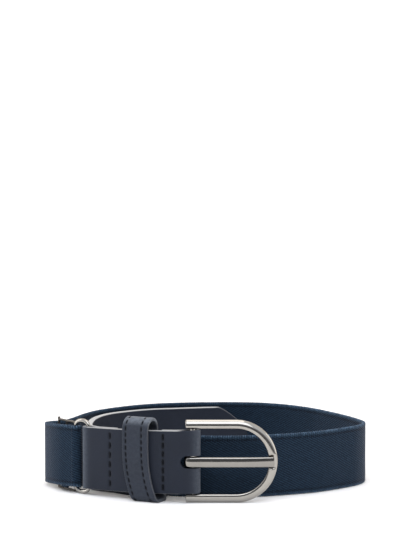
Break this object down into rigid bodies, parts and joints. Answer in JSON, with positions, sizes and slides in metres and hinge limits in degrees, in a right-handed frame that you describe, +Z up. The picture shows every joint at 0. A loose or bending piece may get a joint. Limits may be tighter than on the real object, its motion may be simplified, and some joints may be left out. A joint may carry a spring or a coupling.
{
  "type": "elastic belt",
  "caption": "Child's elastic webbing belt with leather ends, coiled on its edge: horseshoe buckle with prong, keeper loop, oval ring and slide adjuster.",
  "frame": {"origin": "on the surface the belt stands on, under the middle of the whole coiled belt's box", "axes": "+Z up, +X along the coil's longest side, -Y towards the buckle's side"},
  "size_m": [0.1588, 0.1358, 0.0396],
  "materials": {
    "nickel": "satin nickel plate, fine brushed grain",
    "leather": "smooth matt navy leather with pale raw edges",
    "elastic": "navy woven elastic webbing, fine twill with scalloped edges"
  },
  "bodies": {
    "belt": {"buckle_tab": "leather", "keeper_loop": "leather", "oval_ring": "nickel", "slide_adjuster": "nickel", "elastic_strap": "elastic", "tip_strap": "leather"},
    "buckle": {"buckle_frame": "nickel"},
    "buckle_prong": {"prong": "nickel"}
  },
  "joints": [
    {"name": "frame_hinge", "type": "hinge", "parent": "belt", "child": "buckle", "pos_m": [-0.00613, -0.06414, 0.0196], "axis": [0, 0, -1], "range_deg": [-12, 35]},
    {"name": "prong_hinge", "type": "hinge", "parent": "buckle", "child": "buckle_prong", "pos_m": [-0.00613, -0.06414, 0.0196], "axis": [0, 0, -1], "range_deg": [0, 60]}
  ]
}
